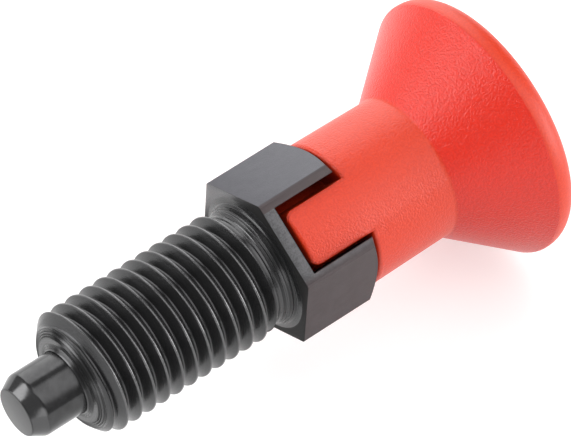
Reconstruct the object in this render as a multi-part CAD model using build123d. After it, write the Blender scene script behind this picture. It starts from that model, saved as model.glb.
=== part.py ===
"""Indexing plunger: a sprung pin in a threaded guide sleeve, pulled by a mushroom grip.

Lengths are in millimetres. The plunger lies along X with the grip towards +X.
The origin is on the axis, in the front face of the hexagon collar, which seats
on the fixture. Two lugs on the grip drop into the slot across the collar.
"""
import os
from math import cos, radians, sin, tan

from build123d import *

# Guide sleeve: threaded shank and slotted hexagon collar
SHANK_LENGTH = 20.2
SHANK_CHAMFER = 1.0
THREAD_MAJOR_D = 11.9
THREAD_PITCH = 1.5
THREAD_DEPTH = 0.92
THREAD_CREST = 0.19
THREAD_ROOT = 0.25
THREAD_END_X = -2.3
UNDERCUT_D = 10.5
UNDERCUT_LENGTH = 0.8
FLARE_D = 11.5
FLARE_END_X = -0.5
HEX_ACROSS_FLATS = 14.0
HEX_CORNER_D = 16.0
COLLAR_LENGTH = 8.0
COLLAR_REAR_FACE_D = 13.7
COLLAR_CHAMFER_DEG = 30.0
SLOT_WIDTH = 6.5
SLOT_FLOOR_X = 1.2
SLOT_FACING_DEG = 120.0
GUIDE_LENGTH = 4.2
MOUTH_CHAMFER = 0.15
CHAMBER_D = 8.0
RETAINER_SEAT_D = 8.5
RETAINER_LENGTH = 2.4

# Index pin: nose, shoulder and stem
PIN_D = 6.0
PIN_REACH = 5.6
TIP_FACE_D = 4.54
TIP_CHAMFER_LENGTH = 1.3
SHOULDER_LENGTH = 2.0
STEM_D = 4.5
STEM_END_X = 19.0
GROOVE_DEPTH = 0.4
GROOVE_LENGTH = 1.2
GROOVE_XS = (12.6, 15.6)

# Return spring
WIRE_D = 0.7
WIRE_SIDES = 8
SPRING_MEAN_D = 6.6
SPRING_TURNS = 7.0

# Mushroom grip
GRIP_START_X = 8.15
NECK_FRONT_D = 14.0
NECK_REAR_D = 13.78
CONE_START_X = 16.84
CONE_HALF_ANGLE_DEG = 38.3
GRIP_D = 25.0
RIM_LENGTH = 2.26
NECK_EDGE_R = 0.4
NECK_FILLET_R = 0.5
RIM_FRONT_R = 1.0
RIM_REAR_R = 1.85
LUG_FRONT_X = 1.7
LUG_WIDTH = 5.3
LUG_CORNER_R = 0.9
LUG_EDGE_R = 0.35
LUG_TURN_DEG = 2.4
HUB_D = 7.8

# Fits
RUNNING_GAP = 0.03
SHOULDER_CLEARANCE = 0.05
END_GAP = 0.02

SHANK_FRONT_X = -SHANK_LENGTH
CHAMBER_FRONT_X = SHANK_FRONT_X + GUIDE_LENGTH
RETAINER_FRONT_X = SLOT_FLOOR_X - RETAINER_LENGTH
SHOULDER_FRONT_X = CHAMBER_FRONT_X + END_GAP
SHOULDER_REAR_X = SHOULDER_FRONT_X + SHOULDER_LENGTH
TIP_X = SHANK_FRONT_X - PIN_REACH


def turned(points):
    """A solid turned about the X axis from its half section."""
    return revolve(half_section(points), Axis.X)


def half_section(points):
    """A closed face in the XY plane through (x, radius) points."""
    return make_face(Polyline(*points, close=True))


def rounded_corner(section, x, radius, fillet_r):
    """The section with its corner nearest to (x, radius) rounded."""
    corner = section.vertices().sort_by_distance((x, radius, 0))[0]
    return fillet(corner, fillet_r)


def slot_frame(angle_deg):
    """A plane through the axis that faces the given way round it."""
    facing = (0, cos(radians(angle_deg)), sin(radians(angle_deg)))
    return Plane(origin=(0, 0, 0), x_dir=(1, 0, 0), z_dir=facing)


def make_guide_sleeve():
    """Threaded shank, undercut, flare and slotted hexagon collar in one piece."""
    major_r = THREAD_MAJOR_D / 2
    undercut_r = UNDERCUT_D / 2
    flare_r = FLARE_D / 2
    corner_r = HEX_CORNER_D / 2
    rear_r = COLLAR_REAR_FACE_D / 2
    guide_r = PIN_D / 2 + RUNNING_GAP
    undercut_end_x = THREAD_END_X + UNDERCUT_LENGTH
    chamfer_length = (corner_r - rear_r) * tan(radians(COLLAR_CHAMFER_DEG))
    outline = [
        (SHANK_FRONT_X, guide_r + MOUTH_CHAMFER),
        (SHANK_FRONT_X, major_r - SHANK_CHAMFER),
        (SHANK_FRONT_X + SHANK_CHAMFER, major_r),
        (THREAD_END_X, major_r),
        (THREAD_END_X, undercut_r),
        (undercut_end_x, undercut_r),
        (FLARE_END_X, flare_r),
        (0, flare_r),
        (0, corner_r),
        (COLLAR_LENGTH - chamfer_length, corner_r),
        (COLLAR_LENGTH, rear_r),
        (COLLAR_LENGTH, RETAINER_SEAT_D / 2),
        (RETAINER_FRONT_X, RETAINER_SEAT_D / 2),
        (RETAINER_FRONT_X, CHAMBER_D / 2),
        (CHAMBER_FRONT_X, CHAMBER_D / 2),
        (CHAMBER_FRONT_X, guide_r),
        (SHANK_FRONT_X + MOUTH_CHAMFER, guide_r),
    ]
    section = half_section(outline)
    for groove in thread_grooves():
        section -= groove
    blank = revolve(section, Axis.X)
    flats = slot_frame(SLOT_FACING_DEG)
    hexagon_r = HEX_ACROSS_FLATS / 2 / cos(radians(30))
    hexagon = RegularPolygon(radius=hexagon_r, side_count=6, rotation=SLOT_FACING_DEG - 90)
    collar_bar = extrude(Plane.YZ * hexagon, amount=COLLAR_LENGTH)
    shank_bar = Plane.YZ * Pos(0, 0, SHANK_FRONT_X) * extrude(Circle(corner_r), amount=SHANK_LENGTH)
    sleeve = blank & (collar_bar + shank_bar)
    slot_length = COLLAR_LENGTH - SLOT_FLOOR_X + 1
    slot_centre_x = SLOT_FLOOR_X + slot_length / 2
    slot = flats * Pos(slot_centre_x, 0, 0) * Box(slot_length, SLOT_WIDTH, 2 * HEX_CORNER_D)
    return sleeve - slot


def thread_grooves():
    """Half sections of the thread's grooves, as level rings in place of its helix."""
    major_r = THREAD_MAJOR_D / 2
    root_r = major_r - THREAD_DEPTH
    mouth = (THREAD_PITCH - THREAD_CREST) / 2
    root = THREAD_ROOT / 2
    groove = half_section([(-mouth, major_r), (-root, root_r), (root, root_r), (mouth, major_r)])
    rear_x = THREAD_END_X - THREAD_PITCH / 2
    count = round((THREAD_END_X - SHANK_FRONT_X) / THREAD_PITCH)
    return [Pos(rear_x - turn * THREAD_PITCH, 0, 0) * groove for turn in range(count)]


def make_index_pin():
    """Hardened pin with a chamfered nose, a spring shoulder and a grooved stem."""
    pin_r = PIN_D / 2
    stem_r = STEM_D / 2
    shoulder_r = CHAMBER_D / 2 - SHOULDER_CLEARANCE
    outline = [
        (TIP_X, 0),
        (TIP_X, TIP_FACE_D / 2),
        (TIP_X + TIP_CHAMFER_LENGTH, pin_r),
        (SHOULDER_FRONT_X, pin_r),
        (SHOULDER_FRONT_X, shoulder_r),
        (SHOULDER_REAR_X, shoulder_r),
        (SHOULDER_REAR_X, stem_r),
    ]
    for groove_x in GROOVE_XS:
        outline.append((groove_x, stem_r))
        outline.append((groove_x, stem_r - GROOVE_DEPTH))
        outline.append((groove_x + GROOVE_LENGTH, stem_r - GROOVE_DEPTH))
        outline.append((groove_x + GROOVE_LENGTH, stem_r))
    outline.append((STEM_END_X, stem_r))
    outline.append((STEM_END_X, 0))
    return turned(outline)


def make_return_spring():
    """Compression spring with flat ground ends; its wire has few sides to keep the facets few."""
    front_x = SHOULDER_REAR_X + END_GAP
    rear_x = RETAINER_FRONT_X - END_GAP
    mean_r = SPRING_MEAN_D / 2
    helix_length = rear_x - front_x
    helix = Helix(pitch=helix_length / SPRING_TURNS, height=helix_length, radius=mean_r)
    wire_end = Plane(origin=helix @ 0, z_dir=helix % 0)
    coil = sweep(wire_end * RegularPolygon(WIRE_D / 2, WIRE_SIDES), path=helix)
    coil = Pos(front_x, 0, 0) * Rot(0, 90, 0) * coil
    ground = Box(helix_length, 4 * mean_r, 4 * mean_r)
    return coil & (Pos(front_x + helix_length / 2, 0, 0) * ground)


def make_spring_retainer():
    """Bush pressed into the collar behind the spring; the stem runs through it."""
    bore_r = STEM_D / 2 + RUNNING_GAP
    seat_r = RETAINER_SEAT_D / 2
    outline = [
        (RETAINER_FRONT_X, bore_r),
        (RETAINER_FRONT_X, seat_r),
        (SLOT_FLOOR_X, seat_r),
        (SLOT_FLOOR_X, bore_r),
    ]
    return turned(outline)


def make_mushroom_grip(index_pin):
    """Moulded grip with a flared head and two lugs, moulded on to the pin's stem."""
    grip_r = GRIP_D / 2
    neck_front_r = NECK_FRONT_D / 2
    neck_rear_r = NECK_REAR_D / 2
    cone_end_x = CONE_START_X + (grip_r - neck_rear_r) / tan(radians(CONE_HALF_ANGLE_DEG))
    grip_end_x = cone_end_x + RIM_LENGTH
    body = half_section([
        (GRIP_START_X, 0),
        (GRIP_START_X, neck_front_r),
        (CONE_START_X, neck_rear_r),
        (cone_end_x, grip_r),
        (grip_end_x, grip_r),
        (grip_end_x, 0),
    ])
    body = rounded_corner(body, GRIP_START_X, neck_front_r, NECK_EDGE_R)
    body = rounded_corner(body, CONE_START_X, neck_rear_r, NECK_FILLET_R)
    body = rounded_corner(body, cone_end_x, grip_r, RIM_FRONT_R)
    body = rounded_corner(body, grip_end_x, grip_r, RIM_REAR_R)
    grip = revolve(body, Axis.X) + make_lugs() - index_pin
    return grip


def make_lugs():
    """Two opposite lugs on a hub, the height of the neck's front."""
    lug_r = NECK_FRONT_D / 2
    root_x = GRIP_START_X + 1
    envelope = half_section([(LUG_FRONT_X, 0), (LUG_FRONT_X, lug_r), (root_x, lug_r), (root_x, 0)])
    envelope = rounded_corner(envelope, LUG_FRONT_X, lug_r, LUG_EDGE_R)
    bar_length = root_x - LUG_FRONT_X
    bar_outline = Pos(LUG_FRONT_X + bar_length / 2, 0, 0) * Rectangle(bar_length, LUG_WIDTH)
    front_corners = bar_outline.vertices().sort_by(Axis.X)[:2]
    bar_outline = fillet(front_corners, LUG_CORNER_R)
    bar = extrude(bar_outline, amount=lug_r + 1, both=True)
    bar = slot_frame(SLOT_FACING_DEG + LUG_TURN_DEG) * bar
    hub = turned([(LUG_FRONT_X, 0), (LUG_FRONT_X, HUB_D / 2), (root_x, HUB_D / 2), (root_x, 0)])
    return (revolve(envelope, Axis.X) & bar) + hub


def main():
    """Build every piece and write one STEP file for each."""
    index_pin = make_index_pin()
    pieces = {
        "guide_sleeve": make_guide_sleeve(),
        "index_pin": index_pin,
        "return_spring": make_return_spring(),
        "spring_retainer": make_spring_retainer(),
        "mushroom_grip": make_mushroom_grip(index_pin),
    }
    os.makedirs("parts", exist_ok=True)
    for name, piece in pieces.items():
        export_step(piece.solid() if len(piece.solids()) == 1 else piece, f"parts/{name}.step")
        print(name, len(piece.solids()), "solid", round(piece.volume, 3), "mm3", piece.bounding_box())


if __name__ == "__main__":
    main()
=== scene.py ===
"""Indexing plunger: detailed pieces, finishes and a plain studio."""
from math import ceil, cos, hypot, pi, radians, sin, tan

import bmesh
import bpy
from bpy.props import FloatProperty, FloatVectorProperty, IntProperty, PointerProperty
from bpy.types import Operator, Panel, PropertyGroup
from mathutils import Matrix, Vector


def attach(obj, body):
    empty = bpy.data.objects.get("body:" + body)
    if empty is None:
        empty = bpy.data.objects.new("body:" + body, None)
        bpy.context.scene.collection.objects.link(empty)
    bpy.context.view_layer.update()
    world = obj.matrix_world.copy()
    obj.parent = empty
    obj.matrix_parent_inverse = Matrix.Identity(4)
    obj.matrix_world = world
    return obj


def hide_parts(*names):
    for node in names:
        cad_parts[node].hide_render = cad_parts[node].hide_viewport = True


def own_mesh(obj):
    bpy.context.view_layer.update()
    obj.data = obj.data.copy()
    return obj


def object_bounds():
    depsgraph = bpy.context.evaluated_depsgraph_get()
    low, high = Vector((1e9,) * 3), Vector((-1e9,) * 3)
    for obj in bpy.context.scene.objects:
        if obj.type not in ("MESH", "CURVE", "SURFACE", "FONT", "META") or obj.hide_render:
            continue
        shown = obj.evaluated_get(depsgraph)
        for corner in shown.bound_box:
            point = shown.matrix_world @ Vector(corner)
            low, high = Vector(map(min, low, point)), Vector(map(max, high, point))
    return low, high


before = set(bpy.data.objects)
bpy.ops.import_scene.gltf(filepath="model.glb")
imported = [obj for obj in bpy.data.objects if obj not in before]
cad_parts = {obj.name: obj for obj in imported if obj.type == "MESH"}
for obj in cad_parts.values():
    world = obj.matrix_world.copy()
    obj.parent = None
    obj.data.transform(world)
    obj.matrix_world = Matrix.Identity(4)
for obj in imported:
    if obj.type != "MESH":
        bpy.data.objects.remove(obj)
CAD_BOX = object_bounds()
MM = 0.001

bl_info = {
    "name": "Indexing plunger",
    "version": (1, 0, 0),
    "blender": (4, 5, 0),
    "location": "3D View > Sidebar > Plunger",
    "description": "Models and finishes an indexing plunger over its CAD frame",
    "category": "Object",
}

# Turns a circle lying in XY into one that faces along X
ALONG_X = Matrix(((0, 0, 1, 0), (1, 0, 0, 0), (0, 1, 0, 0), (0, 0, 0, 1)))

# Places along the axis and radii that the pieces share, in millimetres
RUNNING_GAP = 0.03
CHAMBER_FRONT = -16
CHAMBER_RADIUS = 4.0
RETAINER_FRONT = -1.2
RETAINER_RADIUS = 4.25
STEM_RADIUS = 2.25
STEM_END = 19.0
GROOVE_RADIUS = 1.85
GROOVE_LENGTH = 1.2
GROOVES = (12.6, 15.6)

# How far a finish's mask reaches past the face it ends at
SKIN = 0.02

# Sine and cosine of the angle between the collar's flats and the upright
FLAT_SIN = 0.5
FLAT_COS = 0.866

# Sockets of a Mix node that mixes colours
MIX_FACTOR = 0
MIX_FIRST = 6
MIX_SECOND = 7
MIX_RESULT = 2


def size(name, value, description, **limits):
    """A length in millimetres that shows in the sidebar."""
    return FloatProperty(name=name, description=description, default=value, precision=3, **limits)


def tint(name, value, description):
    """A linear colour that shows in the sidebar."""
    return FloatVectorProperty(
        name=name, description=description, default=value, subtype="COLOR", size=3, min=0, max=1
    )


class PlungerSizes(PropertyGroup):
    """Sizes of the plunger's pieces, in millimetres."""

    shank_front: size("Shank front", -20.2, "Front face of the threaded shank")
    thread_pitch: size("Thread pitch", 1.5, "Advance of the thread in one turn", min=0.2)
    thread_major: size("Thread diameter", 11.9, "Diameter over the thread's crests")
    thread_depth: size("Thread depth", 0.92, "Radial depth of the thread")
    thread_end: size("Thread end", -2.3, "Where the thread meets the undercut")
    thread_phase: size("Thread phase", -17.62, "Place of a crest on the up side")
    undercut: size("Undercut diameter", 10.5, "Diameter of the undercut")
    hex_flats: size("Across flats", 14.0, "Hexagon collar across flats")
    hex_corners: size("Across corners", 16.0, "Turned diameter over the hexagon's corners")
    collar_length: size("Collar length", 8.0, "Length of the hexagon collar")
    slot_width: size("Slot width", 6.5, "Width of the slot across the collar")
    slot_floor: size("Slot floor", 1.2, "Where the slot's floor lies behind the seat")
    pin_diameter: size("Pin diameter", 6.0, "Diameter of the pin's nose")
    pin_tip: size("Pin tip", -25.8, "End face of the pin")
    grip_diameter: size("Grip diameter", 25.0, "Largest diameter of the grip")
    grip_end: size("Grip end", 26.2, "Rear face of the grip")
    neck_front: size("Neck front diameter", 14.0, "Grip neck at its front")
    neck_rear: size("Neck rear diameter", 13.78, "Grip neck where it flares")
    lug_width: size("Lug width", 5.3, "Width of the grip's lugs")
    facing: FloatProperty(
        name="Slot facing", description="Turn of the slot about the axis", default=radians(30),
        subtype="ANGLE",
    )
    lug_turn: FloatProperty(
        name="Lug turn", description="Turn of the lugs in their slot", default=radians(2.4),
        subtype="ANGLE",
    )
    steps: IntProperty(name="Steps", description="Facets round a turned piece", default=128, min=24)


class PlungerFinishes(PropertyGroup):
    """Colours of the plunger's finishes, some with painted light and shade."""

    oxide_flat: tint("Collar oxide", (0.112, 0.110, 0.115), "Blackened steel on the collar")
    # Painted reflection: a cool tone for the upper flat, where the light falls on it.
    upper_flat_painted_reflection: tint("Upper flat painted reflection", (0.098, 0.097, 0.111), "Painted cool reflection on the collar's upper flat")
    # Painted shade: a darker, warm tone for the lower flat, which faces away from the light.
    lower_flat_tone_and_shade: tint("Lower flat tone and shade", (0.066, 0.048, 0.049), "Warm tone and painted shade on the collar's lower flat")
    # Painted shade: a near-black tone for the inside of the slot.
    slot_painted_shade: tint("Slot painted shade", (0.012, 0.014, 0.014), "Painted shade inside the slot")
    oxide_strip: tint("Strip oxide", (0.080, 0.062, 0.062), "Brown tone on the strip above the slot")
    # Painted shade: the front face's colour away from the light.
    face_painted_shade: tint("Face painted shade", (0.030, 0.029, 0.029), "Shaded part of the collar's front face")
    oxide_turned: tint("Turned oxide", (0.055, 0.055, 0.056), "Steel on the turned ends")
    oxide_thread: tint("Thread oxide", (0.046, 0.046, 0.047), "Blackened steel on the thread")
    # Partly wear and partly a painted highlight: the lighter tone of the thread's crests.
    crest_wear_and_highlight: tint("Crest wear and highlight", (0.135, 0.135, 0.137), "Worn crests with a painted highlight")
    pin_steel: tint("Pin steel", (0.054, 0.054, 0.055), "Dark ground steel of the pin")
    spring_steel: tint("Spring wire", (0.30, 0.30, 0.31), "Drawn spring wire")
    grip_red: tint("Grip red", (0.675, 0.040, 0.007), "Red of the moulded grip")
    # Painted shade: a deeper red for the flank, standing in for its shade and weaker sheen.
    grip_flank_painted_shade: tint("Flank painted shade", (0.725, 0.020, 0.004), "Deeper red painted on the flared flank as shade")
    # Painted shade: a darker red for the pits of the grain.
    grain_pit_painted_shade: tint("Grain pit painted shade", (0.430, 0.008, 0.006), "Painted shade in the pits of the grain")
    floor_white: tint("Floor", (0.76, 0.76, 0.76), "Studio floor")


# ---------------------------------------------------------------- shapes


def turned(section, steps, closed=False):
    """A surface turned about X from (x, radius) points."""
    shape = bmesh.new()
    corners = [shape.verts.new((x, r, 0)) for x, r in section]
    edges = [shape.edges.new(pair) for pair in zip(corners, corners[1:])]
    if closed:
        edges.append(shape.edges.new((corners[-1], corners[0])))
    bmesh.ops.spin(
        shape, geom=corners + edges, cent=(0, 0, 0), axis=(1, 0, 0), angle=2 * pi, steps=steps,
        use_merge=True,
    )
    return tidied(shape)


def tidied(shape):
    """The shape with its doubles merged and its faces pointing outwards."""
    bmesh.ops.remove_doubles(shape, verts=shape.verts, dist=1e-5)
    bmesh.ops.recalc_face_normals(shape, faces=shape.faces)
    return shape


def ring_edges(shape, x, radius):
    """The edges of the ring at x with the given radius."""
    def on_ring(vert):
        return abs(vert.co.x - x) < 1e-3 and abs(hypot(vert.co.y, vert.co.z) - radius) < 1e-3

    return [edge for edge in shape.edges if all(on_ring(vert) for vert in edge.verts)]


def bevelled(shape, edges, offset, segments=3):
    """The shape with the given edges rounded."""
    bmesh.ops.bevel(
        shape, geom=edges, offset=offset, offset_type="OFFSET", segments=segments, profile=0.5,
        affect="EDGES", clamp_overlap=True, material=-1,
    )
    return shape


def slab(length, width, height, start_x):
    """A box from start_x along X, centred on the axis."""
    shape = bmesh.new()
    place = Matrix.Translation((start_x + length / 2, 0, 0)) @ Matrix.Diagonal(
        (length, width, height, 1)
    )
    bmesh.ops.create_cube(shape, size=1, matrix=place)
    return shape


def flared_ends(shape, steps):
    """The shape with both its Z faces drawn out; a step is (rise, width factor)."""
    for side in (1, -1):
        face = max(shape.faces, key=lambda item: item.calc_center_median().z * side)
        for rise, factor in steps:
            face = bmesh.ops.extrude_discrete_faces(shape, faces=[face])["faces"][0]
            bmesh.ops.translate(shape, vec=(0, 0, rise * side), verts=face.verts)
            bmesh.ops.scale(shape, vec=(1, factor, 1), verts=face.verts)
    return tidied(shape)


def turned_about_x(shape, angle):
    """The shape turned about the plunger's axis."""
    bmesh.ops.transform(shape, matrix=Matrix.Rotation(angle, 4, "X"), verts=shape.verts)
    return shape


def combined(base, tool, operation):
    """The base shape after a Boolean with the tool shape."""
    holders = []
    for shape in (base, tool):
        mesh = bpy.data.meshes.new("working")
        shape.to_mesh(mesh)
        shape.free()
        holder = bpy.data.objects.new("working", mesh)
        bpy.context.scene.collection.objects.link(holder)
        holders.append(holder)
    cut = holders[0].modifiers.new("cut", "BOOLEAN")
    cut.solver = "EXACT"
    cut.operation = operation
    cut.object = holders[1]
    seen = holders[0].evaluated_get(bpy.context.evaluated_depsgraph_get())
    result = bmesh.new()
    result.from_mesh(seen.to_mesh())
    seen.to_mesh_clear()
    for holder in holders:
        mesh = holder.data
        bpy.data.objects.remove(holder)
        bpy.data.meshes.remove(mesh)
    if not result.faces:
        raise RuntimeError("the cut left no faces: " + operation)
    return result


def trimmed(shape, x, keep_above):
    """The shape cut off square at x and closed there."""
    cut = bmesh.ops.bisect_plane(
        shape, geom=list(shape.verts) + list(shape.edges) + list(shape.faces), dist=1e-6,
        plane_co=(x, 0, 0), plane_no=(1, 0, 0), clear_inner=keep_above, clear_outer=not keep_above,
    )
    rim = [item for item in cut["geom_cut"] if isinstance(item, bmesh.types.BMEdge)]
    bmesh.ops.edgeloop_fill(shape, edges=rim)
    return shape


def grooved(front):
    """The outline of one groove in the stem, from front to back."""
    rear = front + GROOVE_LENGTH
    return [(front, STEM_RADIUS), (front, GROOVE_RADIUS), (rear, GROOVE_RADIUS), (rear, STEM_RADIUS)]


def placed(shape, name, body, material, sharp=30.0):
    """An object in metres from a shape in millimetres, riding on its body."""
    bmesh.ops.transform(shape, matrix=Matrix.Scale(MM, 4), verts=shape.verts)
    mesh = bpy.data.meshes.new(name)
    shape.to_mesh(mesh)
    shape.free()
    mesh.shade_smooth()
    mesh.set_sharp_from_angle(angle=radians(sharp))
    mesh.materials.append(material)
    piece = bpy.data.objects.new(name, mesh)
    bpy.context.scene.collection.objects.link(piece)
    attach(piece, body)
    return piece


# ---------------------------------------------------------------- materials


class Wire:
    """A node socket that takes Python arithmetic."""

    def __init__(self, graph, socket):
        self.graph = graph
        self.socket = socket

    def math(self, operation, *values):
        """A Math node on this socket and the given values."""
        return self.graph.node(
            "ShaderNodeMath", {"operation": operation}, dict(enumerate((self, *values)))
        )

    def __add__(self, other):
        return self.math("ADD", other)

    def __sub__(self, other):
        return self.math("SUBTRACT", other)

    def __mul__(self, other):
        return self.math("MULTIPLY", other)

    def __rsub__(self, other):
        return self.graph.node(
            "ShaderNodeMath", {"operation": "SUBTRACT"}, {0: other, 1: self}
        )

    def __gt__(self, other):
        return self.math("GREATER_THAN", other)

    def __lt__(self, other):
        return self.math("LESS_THAN", other)

    def __pow__(self, other):
        return self.math("POWER", other)

    __radd__ = __add__


class Graph:
    """A material's nodes, with the surface's position in millimetres."""

    def __init__(self, name):
        self.material = bpy.data.materials.new(name)
        self.material.use_nodes = True
        self.tree = self.material.node_tree
        self.surface = self.tree.nodes["Principled BSDF"]
        coordinates = self.node("ShaderNodeTexCoord", {}, {}, "Object")
        self.place = self.node(
            "ShaderNodeMapping", {}, {"Vector": coordinates, "Scale": (1000, 1000, 1000)}
        )

    def node(self, kind, settings, values, output=0):
        """A node with its settings made first, then its sockets' values or links."""
        made = self.tree.nodes.new(kind)
        for key, value in settings.items():
            setattr(made, key, value)
        for key, value in values.items():
            self.feed(made.inputs[key], value)
        return Wire(self, made.outputs[output])

    def feed(self, socket, value):
        """Links a wire to the socket, or sets its number or colour."""
        if isinstance(value, Wire):
            self.tree.links.new(value.socket, socket)
        elif socket.type == "RGBA" and len(value) == 3:
            socket.default_value = (*value, 1)
        else:
            socket.default_value = value

    def finish(self, **values):
        """Feeds the surface's sockets, named with underscores for spaces."""
        for key, value in values.items():
            self.feed(self.surface.inputs[key.replace("_", " ")], value)
        return self.material

    def axes(self):
        """The position's x, y and z, in millimetres."""
        split = self.tree.nodes.new("ShaderNodeSeparateXYZ")
        self.feed(split.inputs[0], self.place)
        return [Wire(self, output) for output in split.outputs]

    def stretched(self, scale):
        """The position scaled differently along each axis."""
        return self.node("ShaderNodeMapping", {}, {"Vector": self.place, "Scale": scale})

    def noise(self, scale, detail=2.0, roughness=0.5, vector=None):
        """Noise from 0 to 1, with its scale per millimetre."""
        return self.node(
            "ShaderNodeTexNoise", {},
            {
                "Vector": vector or self.place, "Scale": scale, "Detail": detail,
                "Roughness": roughness,
            },
        )

    def lathed(self, radius, x, outwards, along, roughness):
        """Noise in rings about the axis, with its scales per millimetre."""
        rings = self.node("ShaderNodeCombineXYZ", {}, {0: radius * outwards, 1: x * along})
        return self.noise(1.0, roughness=roughness, vector=rings)

    def ranged(self, value, low, high, to_low=0.0, to_high=1.0):
        """The value clamped and mapped from one range to another."""
        return self.node(
            "ShaderNodeMapRange", {"interpolation_type": "SMOOTHSTEP"},
            {"Value": value, 1: low, 2: high, 3: to_low, 4: to_high},
        )

    def mixed(self, factor, first, second):
        """A colour between the first and the second."""
        made = self.tree.nodes.new("ShaderNodeMix")
        made.data_type = "RGBA"
        self.feed(made.inputs[MIX_FACTOR], factor)
        self.feed(made.inputs[MIX_FIRST], first)
        self.feed(made.inputs[MIX_SECOND], second)
        return Wire(self, made.outputs[MIX_RESULT])

    def bumped(self, height, distance):
        """A normal raised by the height, with its distance in millimetres."""
        return self.node(
            "ShaderNodeBump", {}, {"Height": height, "Distance": distance * MM, "Strength": 1.0}
        )


def shade(colour, factor):
    """The colour made lighter or darker."""
    return tuple(min(1.0, channel * factor) for channel in colour)


def collar_colour(graph, finishes, sizes, speckle, drawn):
    """The collar's colour, with painted light and shade on its flats and painted shade in its slot,
    and the mask of its slot.
    """
    x, y, z = graph.axes()
    across = y * cos(sizes.facing) + z * sin(sizes.facing)
    slot_edge = sizes.slot_width / 2 + SKIN
    mottle = graph.noise(0.9, detail=3.0, roughness=0.6)
    tone = graph.ranged(mottle * 0.35 + speckle * 0.5 + drawn * 0.15, 0.40, 0.60)
    colour = graph.mixed(tone, shade(finishes.oxide_flat, 0.74), shade(finishes.oxide_flat, 1.22))
    fade_from = 6.2
    fade_to = 6.9
    # Painted light and shade: the upper flat is tinted cool as a reflection, and the lower flat is
    # made darker and warm as shade.
    upper = graph.ranged(y * FLAT_SIN + z * FLAT_COS, fade_from, fade_to)
    lower = graph.ranged(y, -fade_from, -fade_to)
    strip = graph.ranged(z * FLAT_COS - y * FLAT_SIN, 6.8, 6.95) * (across > slot_edge)
    # The slot's inside is painted dark as shade.
    in_slot = (x > sizes.slot_floor - 0.05) * (across.math("ABSOLUTE") < slot_edge)
    for mask, tint_there in (
        (upper * 0.7, finishes.upper_flat_painted_reflection), (strip * 0.85, finishes.oxide_strip),
        (lower * 0.75, finishes.lower_flat_tone_and_shade), (in_slot, finishes.slot_painted_shade),
    ):
        colour = graph.mixed(mask, colour, tint_there)
    return colour, in_slot


def sleeve_finish(finishes, sizes):
    """Blackened steel: matt and speckled on the collar, glossy on its face and the thread, with
    painted light and shade on the collar's flats, slot and front face and a painted highlight on the
    worn crests.
    """
    graph = Graph("black_oxide_sleeve")
    x, y, z = graph.axes()
    radius = (y * y + z * z) ** 0.5
    speckle = graph.noise(7.0, detail=3.0, roughness=0.7)
    drawn = graph.noise(1.0, vector=graph.stretched((0.35, 6.0, 6.0)))
    rings = graph.noise(1.0, roughness=0.6, vector=graph.stretched((9.0, 0.02, 0.02)))
    lathe = graph.lathed(radius, x, 8, 5, 0.6)
    collar, in_slot = collar_colour(graph, finishes, sizes, speckle, drawn)
    major = sizes.thread_major / 2
    # The crests are painted lighter: partly bare wear, partly a painted highlight.
    crest = graph.ranged(radius, major - 0.07, major - 0.01)
    grit = graph.ranged(speckle, 0.35, 0.65, 0.72, 1.3)
    thread = graph.mixed(crest, finishes.oxide_thread, finishes.crest_wear_and_highlight)
    thread = graph.mixed(grit - 0.7, thread, shade(finishes.oxide_thread, 1.35))
    nose_band = (-19.6, -20.0)
    neck_band = (-2.1, -1.7)
    turned_end = graph.ranged(x, *nose_band) + graph.ranged(x, *neck_band)
    marks = graph.ranged(lathe, 0.40, 0.60)
    ends = graph.mixed(marks, shade(finishes.oxide_turned, 0.45), shade(finishes.oxide_turned, 1.5))
    thread = graph.mixed(turned_end * 0.85, thread, ends)
    on_thread = x < SKIN
    on_collar = 1 - on_thread
    face = (x > -SKIN) * on_thread * graph.ranged(radius, 6.1, 6.6)
    # Painted light and shade on the front face: the shaded tone, giving way to the collar's colour
    # towards the upper left, which is painted as lit.
    lit = graph.ranged(y * 0.82 + z * 0.57, 4.6, 7.0)
    front = graph.mixed(lit, finishes.face_painted_shade, finishes.oxide_flat)
    thread = graph.mixed(face, thread, front)
    glossy = 0.18 + rings * 0.12 + face * (1 - lit) * 0.40
    matt = 0.40 + speckle * 0.18 + in_slot * 0.2
    thread_relief = rings * 0.5 + speckle * 0.4 + turned_end * lathe * 1.3
    collar_relief = speckle + drawn * 0.1
    relief = on_thread * thread_relief + on_collar * collar_relief
    return graph.finish(
        Base_Color=graph.mixed(on_thread, collar, thread), Metallic=0.75,
        Roughness=on_thread * glossy + on_collar * matt, Normal=graph.bumped(relief, 0.016),
    )


def pin_finish(finishes):
    """Dark ground steel with fine rings, a little brighter on the nose."""
    graph = Graph("ground_pin_steel")
    x = graph.axes()[0]
    on_end_face = x < -25.7
    on_nose = x < -24.52
    rings = graph.noise(1.0, roughness=0.6, vector=graph.stretched((14.0, 0.05, 0.05)))
    speckle = graph.noise(8.0, roughness=0.6)
    tone = graph.ranged(graph.noise(1.2) * 0.6 + speckle * 0.4, 0.38, 0.62)
    ground = graph.mixed(tone, shade(finishes.pin_steel, 0.86), shade(finishes.pin_steel, 1.14))
    nose = graph.mixed(on_end_face, shade(finishes.pin_steel, 1.5), shade(finishes.pin_steel, 0.95))
    return graph.finish(
        Base_Color=graph.mixed(on_nose, ground, nose), Metallic=0.75,
        Roughness=0.12 + rings * 0.10 + on_end_face * 0.1, Normal=graph.bumped(rings, 0.003),
    )


def wire_finish(finishes):
    """Drawn steel wire."""
    graph = Graph("drawn_wire")
    tone = graph.ranged(graph.noise(3.0), 0.3, 0.7)
    colour = graph.mixed(tone, shade(finishes.spring_steel, 0.8), shade(finishes.spring_steel, 1.1))
    return graph.finish(Base_Color=colour, Metallic=1.0, Roughness=0.28 + tone * 0.08)


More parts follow.
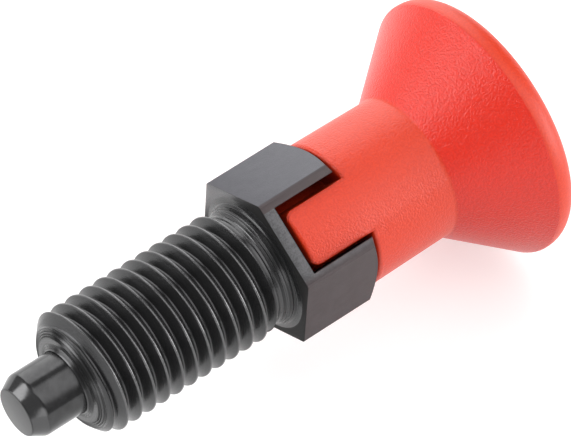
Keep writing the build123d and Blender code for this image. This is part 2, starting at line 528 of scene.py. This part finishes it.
def retainer_finish(finishes):
    """Turned, blackened steel with fine rings."""
    graph = Graph("black_oxide_retainer")
    x, y, z = graph.axes()
    radius = (y * y + z * z) ** 0.5
    rings = graph.lathed(radius, x, 9, 9, 0.5)
    colour = graph.mixed(rings, finishes.oxide_thread, shade(finishes.crest_wear_and_highlight, 0.6))
    return graph.finish(
        Base_Color=colour, Metallic=1.0, Roughness=0.3 + rings * 0.1,
        Normal=graph.bumped(rings, 0.004),
    )


def grip_finish(finishes, sizes):
    """Red moulded plastic with an eroded grain, finer on the rim, with painted shade in the grain's
    pits and a deeper red painted on the flank as shade.
    """
    graph = Graph("red_grained_plastic")
    x = graph.axes()[0]
    grain = graph.noise(5.4, roughness=0.55) * 0.85 + graph.noise(2.6) * 0.15
    rim_x = sizes.grip_end - 2.3
    rim = graph.ranged(x, rim_x - 0.1, rim_x + 0.1)
    flank = graph.ranged(x, 16.8, 17.1) * graph.ranged(x, rim_x + 0.1, rim_x - 0.1)
    # Painted shade: the flank is given the deeper red.
    base = graph.mixed(flank, finishes.grip_red, finishes.grip_flank_painted_shade)
    deep = graph.ranged(grain, 0.62, 0.38)
    # Painted shade: the grain's pits are darkened.
    colour = graph.mixed(deep * 0.26, base, finishes.grain_pit_painted_shade)
    return graph.finish(
        Base_Color=colour, IOR=1.5, Roughness=0.33 - flank * 0.05 + grain * 0.06 + rim * 0.07,
        Normal=graph.bumped(grain * (0.9 + flank * 0.3 - rim * 0.5), 0.085),
    )


def floor_finish(finishes):
    """A pale floor that shows white and keeps the shadow."""
    graph = Graph("studio_floor")
    path = graph.tree.nodes.new("ShaderNodeLightPath")
    seen = Wire(graph, path.outputs["Is Camera Ray"]) + Wire(graph, path.outputs["Is Glossy Ray"])
    seen = seen + Wire(graph, path.outputs["Is Transmission Ray"])
    tone = graph.ranged(graph.noise(0.02, 1.0), 0.0, 1.0)
    colour = graph.mixed(tone, finishes.floor_white, shade(finishes.floor_white, 1.02))
    glow = graph.mixed(seen, (0, 0, 0), (0.42, 0.42, 0.42))
    return graph.finish(
        Base_Color=colour, Roughness=0.9, Specular_IOR_Level=0.0, Emission_Color=glow,
        Emission_Strength=1.0,
    )


# ---------------------------------------------------------------- pieces


class PLUNGER_OT_guide_sleeve(Operator):
    """Guide sleeve with its cut thread, undercut and slotted hexagon collar"""

    bl_idname = "plunger.guide_sleeve"
    bl_label = "Guide sleeve"

    # One pitch of the thread's outline: share of the pitch, share of the depth
    THREAD_SECTION = (
        (0.00, 0.00), (0.05, 0.01), (0.09, 0.07), (0.13, 0.17), (0.26, 0.50), (0.395, 0.845),
        (0.415, 0.92), (0.44, 0.98), (0.47, 1.00), (0.53, 1.00), (0.56, 0.98), (0.585, 0.92),
        (0.605, 0.845), (0.74, 0.50), (0.87, 0.17), (0.91, 0.07), (0.95, 0.01), (1.00, 0.00),
    )

    # Turning steps on the nose: x from the front face, radius over the bore
    NOSE_RINGS = (
        (-0.42, 0.01), (-0.42, 0.07), (-0.30, 0.16), (-0.32, 0.24), (-0.20, 0.34), (-0.22, 0.42),
        (-0.12, 0.52), (-0.10, 1.12), (0.02, 1.19), (-0.06, 1.32), (0.07, 1.39), (0.01, 1.52),
        (0.15, 1.60), (0.09, 1.72), (0.25, 1.80), (0.24, 1.90), (0.36, 1.96), (0.42, 2.12),
    )

    # Turning steps behind the thread: x, radius over the undercut
    NECK_RINGS = (
        (-2.05, 0.00), (-1.58, 0.00), (-1.50, 0.06), (-1.28, 0.08), (-1.20, 0.15), (-1.00, 0.18),
        (-0.92, 0.27), (-0.72, 0.32), (-0.65, 0.41), (-0.47, 0.48), (-0.40, 0.42), (-0.36, 0.43),
        (-0.31, 0.56), (-0.20, 0.66), (-0.17, 0.62), (-0.13, 0.68), (-0.08, 0.86), (-0.03, 1.10),
        (0.00, 1.38),
    )

    COLLAR_FACE_RADIUS = 6.85
    EDGE_BREAK = 0.07
    THREAD_STEPS = 96

    def threaded_rod(self, sizes):
        """A closed rod with a right-handed thread."""
        pitch = sizes.thread_pitch
        root = sizes.thread_major / 2 - sizes.thread_depth
        steps = self.THREAD_STEPS
        turns = ceil((sizes.thread_end - sizes.shank_front) / pitch) + 4
        start = sizes.thread_phase - pitch * 4.5
        rod = bmesh.new()
        line = [
            rod.verts.new((start + share * pitch, root + depth * sizes.thread_depth, 0))
            for share, depth in self.THREAD_SECTION
        ]
        edges = [rod.edges.new(pair) for pair in zip(line, line[1:])]
        up_side = Matrix.Rotation(sizes.facing, 3, "X")
        bmesh.ops.rotate(rod, cent=(0, 0, 0), matrix=up_side, verts=line)
        bmesh.ops.spin(
            rod, geom=line + edges, cent=(0, 0, 0), axis=(1, 0, 0), dvec=(pitch / steps, 0, 0),
            angle=2 * pi, steps=steps,
        )
        one_turn = list(rod.verts) + list(rod.edges) + list(rod.faces)
        for turn in range(1, turns):
            copied = bmesh.ops.duplicate(rod, geom=one_turn)["geom"]
            copied = [item for item in copied if isinstance(item, bmesh.types.BMVert)]
            bmesh.ops.translate(rod, vec=(pitch * turn, 0, 0), verts=copied)
        bmesh.ops.remove_doubles(rod, verts=rod.verts, dist=1e-4)
        trimmed(rod, sizes.shank_front - 0.8, True)
        trimmed(rod, sizes.thread_end + 0.3, False)
        return tidied(rod)

    def blank(self, sizes):
        """The sleeve's turned outline with its bores."""
        major = sizes.thread_major / 2
        guide = sizes.pin_diameter / 2 + RUNNING_GAP
        front = sizes.shank_front
        corner = sizes.hex_corners / 2
        rear_face = self.COLLAR_FACE_RADIUS
        chamfer = (corner - rear_face) * tan(radians(30))
        nose = [(front + x, guide + r) for x, r in self.NOSE_RINGS]
        neck = [(x, sizes.undercut / 2 + r) for x, r in self.NECK_RINGS]
        section = [
            *nose, (front + 1.15, major), (sizes.thread_end, major), *neck, (0, corner),
            (sizes.collar_length - chamfer, corner), (sizes.collar_length, rear_face),
            (sizes.collar_length, RETAINER_RADIUS), (RETAINER_FRONT, RETAINER_RADIUS),
            (RETAINER_FRONT, CHAMBER_RADIUS), (CHAMBER_FRONT, CHAMBER_RADIUS), (CHAMBER_FRONT, guide),
        ]
        return turned(section, sizes.steps, closed=True)

    def envelope(self, sizes):
        """Threaded rod and hexagon bar together."""
        bar = bmesh.new()
        bmesh.ops.create_circle(
            bar, cap_ends=True, segments=6, radius=sizes.hex_flats / 2 / cos(pi / 6), matrix=ALONG_X
        )
        long_edges = bmesh.ops.extrude_face_region(bar, geom=list(bar.faces))
        moved = [item for item in long_edges["geom"] if isinstance(item, bmesh.types.BMVert)]
        bmesh.ops.translate(bar, vec=(sizes.collar_length + 1, 0, 0), verts=moved)
        tidied(bar)
        along = [edge for edge in bar.edges if abs(edge.verts[0].co.x - edge.verts[1].co.x) > 1]
        bevelled(bar, along, self.EDGE_BREAK)
        front = [
            edge for edge in bar.edges
            if abs(edge.verts[0].co.x) < 1e-4 and abs(edge.verts[1].co.x) < 1e-4
        ]
        bevelled(bar, front, 0.05, 2)
        neck_front = sizes.thread_end + 0.1
        outline = [(neck_front, 0), (neck_front, 5.9), (-0.6, 5.9), (-0.6, 6.8), (0.5, 6.8), (0.5, 0)]
        neck = turned(outline, sizes.steps)
        return combined(combined(self.threaded_rod(sizes), neck, "UNION"), bar, "UNION")

    def slot(self, sizes):
        """The slot's cutter, with lightly broken edges at the flats."""
        half = sizes.slot_width / 2
        flat = sizes.hex_flats / 2
        edge = self.EDGE_BREAK
        cutter = slab(sizes.collar_length, sizes.slot_width, 2 * (flat - edge), sizes.slot_floor)
        flared_ends(cutter, ((edge, (half + edge) / half), (2.0, 1)))
        return turned_about_x(cutter, sizes.facing)

    def execute(self, context):
        """Cuts the thread, the hexagon and the slot."""
        sizes = context.scene.plunger_sizes
        shape = combined(self.envelope(sizes), self.blank(sizes), "INTERSECT")
        shape = combined(shape, self.slot(sizes), "DIFFERENCE")
        finish = sleeve_finish(context.scene.plunger_finishes, sizes)
        piece = placed(shape, "guide_sleeve_cut", "sleeve", finish, sharp=24)
        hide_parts("guide_sleeve")
        return {"FINISHED"}


class PLUNGER_OT_index_pin(Operator):
    """Index pin with its chamfered nose, shoulder and grooved stem"""

    bl_idname = "plunger.index_pin"
    bl_label = "Index pin"

    TIP_RADIUS = 2.27
    TIP_CHAMFER = 1.3
    SHOULDER_FRONT = -15.98
    SHOULDER_REAR = -13.98
    SHOULDER_RADIUS = 3.95

    def execute(self, context):
        """Turns the pin and rounds its edges."""
        sizes = context.scene.plunger_sizes
        radius = sizes.pin_diameter / 2
        tip = sizes.pin_tip
        shoulder = self.SHOULDER_RADIUS
        section = [
            (tip, 0), (tip, self.TIP_RADIUS), (tip + self.TIP_CHAMFER, radius),
            (self.SHOULDER_FRONT, radius), (self.SHOULDER_FRONT, shoulder),
            (self.SHOULDER_REAR, shoulder), (self.SHOULDER_REAR, STEM_RADIUS),
        ]
        for groove in GROOVES:
            section += grooved(groove)
        section += [(STEM_END, STEM_RADIUS), (STEM_END, 0)]
        pin = turned(section, sizes.steps)
        bevelled(pin, ring_edges(pin, tip, self.TIP_RADIUS), 0.10, 4)
        bevelled(pin, ring_edges(pin, tip + self.TIP_CHAMFER, radius), 0.20, 4)
        rims = ring_edges(pin, self.SHOULDER_FRONT, shoulder)
        bevelled(pin, rims + ring_edges(pin, self.SHOULDER_REAR, shoulder), 0.15, 2)
        finish = pin_finish(context.scene.plunger_finishes)
        piece = placed(pin, "index_pin_ground", "plunger", finish)
        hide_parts("index_pin")
        return {"FINISHED"}


class PLUNGER_OT_return_spring(Operator):
    """Return spring with closed, ground ends"""

    bl_idname = "plunger.return_spring"
    bl_label = "Return spring"

    WIRE = 0.7
    COIL_RADIUS = 3.3
    CLOSED_ADVANCE = 0.72
    ACTIVE_TURNS = 5
    STEPS = 32

    def execute(self, context):
        """Winds the wire as a thin band and cuts both ends flat."""
        front = -13.96
        rear = -1.22
        wire = self.WIRE
        closing = self.CLOSED_ADVANCE
        spring = bmesh.new()
        # The circle faces outwards, so the spin gives a band with no thickness, not a round wire
        start = Matrix.Translation((front + wire * 0.25, self.COIL_RADIUS, 0))
        start = start @ Matrix.Rotation(pi / 2, 4, "X")
        bmesh.ops.create_circle(spring, cap_ends=True, segments=10, radius=wire / 2, matrix=start)
        travel = rear - front - wire * 0.5 - 2 * closing
        section = list(spring.faces)
        for turns, advance in ((1, closing), (self.ACTIVE_TURNS, travel), (1, closing)):
            count = self.STEPS * turns
            spun = bmesh.ops.spin(
                spring, geom=section, cent=(0, 0, 0), axis=(1, 0, 0),
                dvec=(advance / count, 0, 0), angle=2 * pi * turns, steps=count,
            )
            section = [item for item in spun["geom_last"] if isinstance(item, bmesh.types.BMFace)]
        tidied(spring)
        trimmed(spring, front, True)
        trimmed(spring, rear, False)
        finish = wire_finish(context.scene.plunger_finishes)
        piece = placed(tidied(spring), "return_spring_wound", "spring", finish, sharp=50)
        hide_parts("return_spring")
        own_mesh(piece)
        return {"FINISHED"}


class PLUNGER_OT_spring_retainer(Operator):
    """Bush pressed into the collar behind the spring"""

    bl_idname = "plunger.spring_retainer"
    bl_label = "Spring retainer"

    def execute(self, context):
        """Turns the bush and breaks its edges."""
        sizes = context.scene.plunger_sizes
        rear = sizes.slot_floor
        outer = RETAINER_RADIUS
        bore = STEM_RADIUS + RUNNING_GAP
        section = [(RETAINER_FRONT, bore), (RETAINER_FRONT, outer), (rear, outer), (rear, bore)]
        bush = turned(section, sizes.steps, closed=True)
        bevelled(bush, ring_edges(bush, rear, outer) + ring_edges(bush, rear, bore), 0.12, 2)
        finish = retainer_finish(context.scene.plunger_finishes)
        piece = placed(bush, "spring_retainer_turned", "sleeve", finish)
        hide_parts("spring_retainer")
        return {"FINISHED"}


class PLUNGER_OT_mushroom_grip(Operator):
    """Moulded grip with its flared head and two lugs"""

    bl_idname = "plunger.mushroom_grip"
    bl_label = "Mushroom grip"

    LUG_FRONT = 1.7
    NECK_START = 8.15
    NECK_EDGE = 0.4
    CONE_START = 16.84
    CONE_HALF_ANGLE = 38.3
    HUB_RADIUS = 3.9

    def body(self, sizes):
        """Neck, flare and rim turned in one, with the stem's hole."""
        neck = sizes.neck_front / 2
        rear_neck = sizes.neck_rear / 2
        rim = sizes.grip_diameter / 2
        end = sizes.grip_end
        lug_front = self.LUG_FRONT
        cone = self.CONE_START
        rim_x = cone + (rim - rear_neck) / tan(radians(self.CONE_HALF_ANGLE))
        section = [
            (lug_front, STEM_RADIUS), (lug_front, neck), (self.NECK_START, neck), (cone, rear_neck),
            (rim_x, rim), (end, rim), (end, 0), (STEM_END, 0), (STEM_END, STEM_RADIUS),
        ]
        for groove in reversed(GROOVES):
            section += reversed(grooved(groove))
        shape = turned(section, sizes.steps, closed=True)
        bevelled(shape, ring_edges(shape, lug_front, neck), 0.35, 4)
        half = tan(radians(self.CONE_HALF_ANGLE / 2))
        bevelled(shape, ring_edges(shape, cone, rear_neck), 0.5 * half, 5)
        bevelled(shape, ring_edges(shape, rim_x, rim), 0.4 * half, 4)
        bevelled(shape, ring_edges(shape, end, rim), 1.85, 12)
        return shape

    def lug_plan(self, sizes):
        """What the lugs keep: a bar across the axis with rounded corners."""
        half = sizes.lug_width / 2
        bar = slab(12.0, sizes.lug_width, 12.66, self.LUG_FRONT)
        corners = [
            edge for edge in bar.edges
            if all(abs(vert.co.x - self.LUG_FRONT) < 1e-4 for vert in edge.verts)
            and abs(edge.verts[0].co.z - edge.verts[1].co.z) > 1
        ]
        bevelled(bar, corners, 0.9, 8)
        narrowing = ((0.09, 0.03), (0.05, 0.07), (0.02, 0.12), (3.0, 0.0))
        flared_ends(bar, [(rise, (half - narrow) / half) for rise, narrow in narrowing])
        return turned_about_x(bar, sizes.facing + sizes.lug_turn)

    def execute(self, context):
        """Turns the grip and cuts the lugs free."""
        sizes = context.scene.plunger_sizes
        start = self.NECK_START
        edge = self.NECK_EDGE
        inner = sizes.neck_front / 2 - edge
        hub = self.HUB_RADIUS
        rounding = [
            (start + edge - edge * cos(step * pi / 12), inner + edge * sin(step * pi / 12))
            for step in range(7)
        ]
        section = [(0.5, hub), (start, hub), *rounding, (8.56, 9.0), (0.5, 9.0)]
        around = turned(section, sizes.steps, closed=True)
        around = combined(around, self.lug_plan(sizes), "DIFFERENCE")
        shape = combined(self.body(sizes), around, "DIFFERENCE")
        finish = grip_finish(context.scene.plunger_finishes, sizes)
        piece = placed(shape, "mushroom_grip_moulded", "plunger", finish, sharp=35)
        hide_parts("mushroom_grip")
        return {"FINISHED"}


class PLUNGER_OT_studio(Operator):
    """Plain pale floor, soft lights and the camera"""

    bl_idname = "plunger.studio"
    bl_label = "Studio"

    # Name, place, width, height and watts
    LAMPS = (
        ("left", (-0.506, 0.350, 0.334), 0.50, 0.60, 4.5),
        ("back", (0.280, 0.556, 0.321), 0.50, 0.84, 3.3),
        ("right", (0.280, -0.325, 0.553), 0.50, 1.50, 4.2),
        ("low_right", (0.555, -0.417, 0.097), 0.45, 0.35, 2.7),
        ("low_front", (-0.200, -0.655, 0.150), 0.50, 0.36, 1.2),
    )
    SKY = 0.23

    def lamp(self, name, place, width, height, watts):
        """A soft rectangular lamp aimed at the plunger."""
        data = bpy.data.lights.new(name, "AREA")
        data.shape = "RECTANGLE"
        data.size = width
        data.size_y = height
        data.energy = watts
        lamp = bpy.data.objects.new(name, data)
        lamp.location = place
        lamp.rotation_euler = (-Vector(place)).to_track_quat("-Z", "Y").to_euler()
        bpy.context.scene.collection.objects.link(lamp)

    def execute(self, context):
        """Builds the floor, the lamps, the world and the camera."""
        scene = context.scene
        floor_shape = bmesh.new()
        bmesh.ops.create_grid(
            floor_shape, x_segments=1, y_segments=1, size=1.5,
            matrix=Matrix.Translation((0, 0, CAD_BOX[0].z)),
        )
        mesh = bpy.data.meshes.new("studio_floor")
        floor_shape.to_mesh(mesh)
        floor_shape.free()
        mesh.materials.append(floor_finish(scene.plunger_finishes))
        floor = bpy.data.objects.new("studio_floor", mesh)
        scene.collection.objects.link(floor)
        for lamp in self.LAMPS:
            self.lamp(*lamp)
        world = bpy.data.worlds.new("studio")
        world.use_nodes = True
        sky = world.node_tree.nodes["Background"]
        sky.inputs["Color"].default_value = (self.SKY, self.SKY, self.SKY, 1)
        sky.inputs["Strength"].default_value = 1.0
        scene.world = world
        data = bpy.data.cameras.new("camera")
        data.lens = 327.56
        data.sensor_width = 36
        data.clip_end = 10
        camera = bpy.data.objects.new("camera", data)
        camera.location = (-0.17388918, -0.19529427, 0.36305622)
        camera.rotation_euler = (radians(36.20713), radians(-2.41747), radians(-38.89382))
        scene.collection.objects.link(camera)
        scene.camera = camera
        scene.view_settings.view_transform = "Standard"
        return {"FINISHED"}


class PLUNGER_PT_panel(Panel):
    """Lists the plunger's sizes, finishes and operators"""

    bl_idname = "PLUNGER_PT_panel"
    bl_label = "Indexing plunger"
    bl_space_type = "VIEW_3D"
    bl_region_type = "UI"
    bl_category = "Plunger"

    def draw(self, context):
        """Draws the sizes and colours, then a button for each operator."""
        for group in (context.scene.plunger_sizes, context.scene.plunger_finishes):
            box = self.layout.box()
            for key in group.__annotations__:
                box.prop(group, key)
        for operator in OPERATORS:
            self.layout.operator(operator.bl_idname)


OPERATORS = (
    PLUNGER_OT_guide_sleeve,
    PLUNGER_OT_index_pin,
    PLUNGER_OT_return_spring,
    PLUNGER_OT_spring_retainer,
    PLUNGER_OT_mushroom_grip,
    PLUNGER_OT_studio,
)
CLASSES = (PlungerSizes, PlungerFinishes, *OPERATORS, PLUNGER_PT_panel)


def register():
    """Registers the classes and puts the settings on the scene."""
    for cls in CLASSES:
        bpy.utils.register_class(cls)
    bpy.types.Scene.plunger_sizes = PointerProperty(type=PlungerSizes)
    bpy.types.Scene.plunger_finishes = PointerProperty(type=PlungerFinishes)


def unregister():
    """Takes the settings and the classes away again."""
    del bpy.types.Scene.plunger_finishes
    del bpy.types.Scene.plunger_sizes
    for cls in reversed(CLASSES):
        bpy.utils.unregister_class(cls)


def main():
    """Builds every piece and the studio."""
    register()
    bpy.ops.plunger.guide_sleeve()
    bpy.ops.plunger.index_pin()
    bpy.ops.plunger.return_spring()
    bpy.ops.plunger.spring_retainer()
    bpy.ops.plunger.mushroom_grip()
    bpy.ops.plunger.studio()


if __name__ == "__main__":
    main()
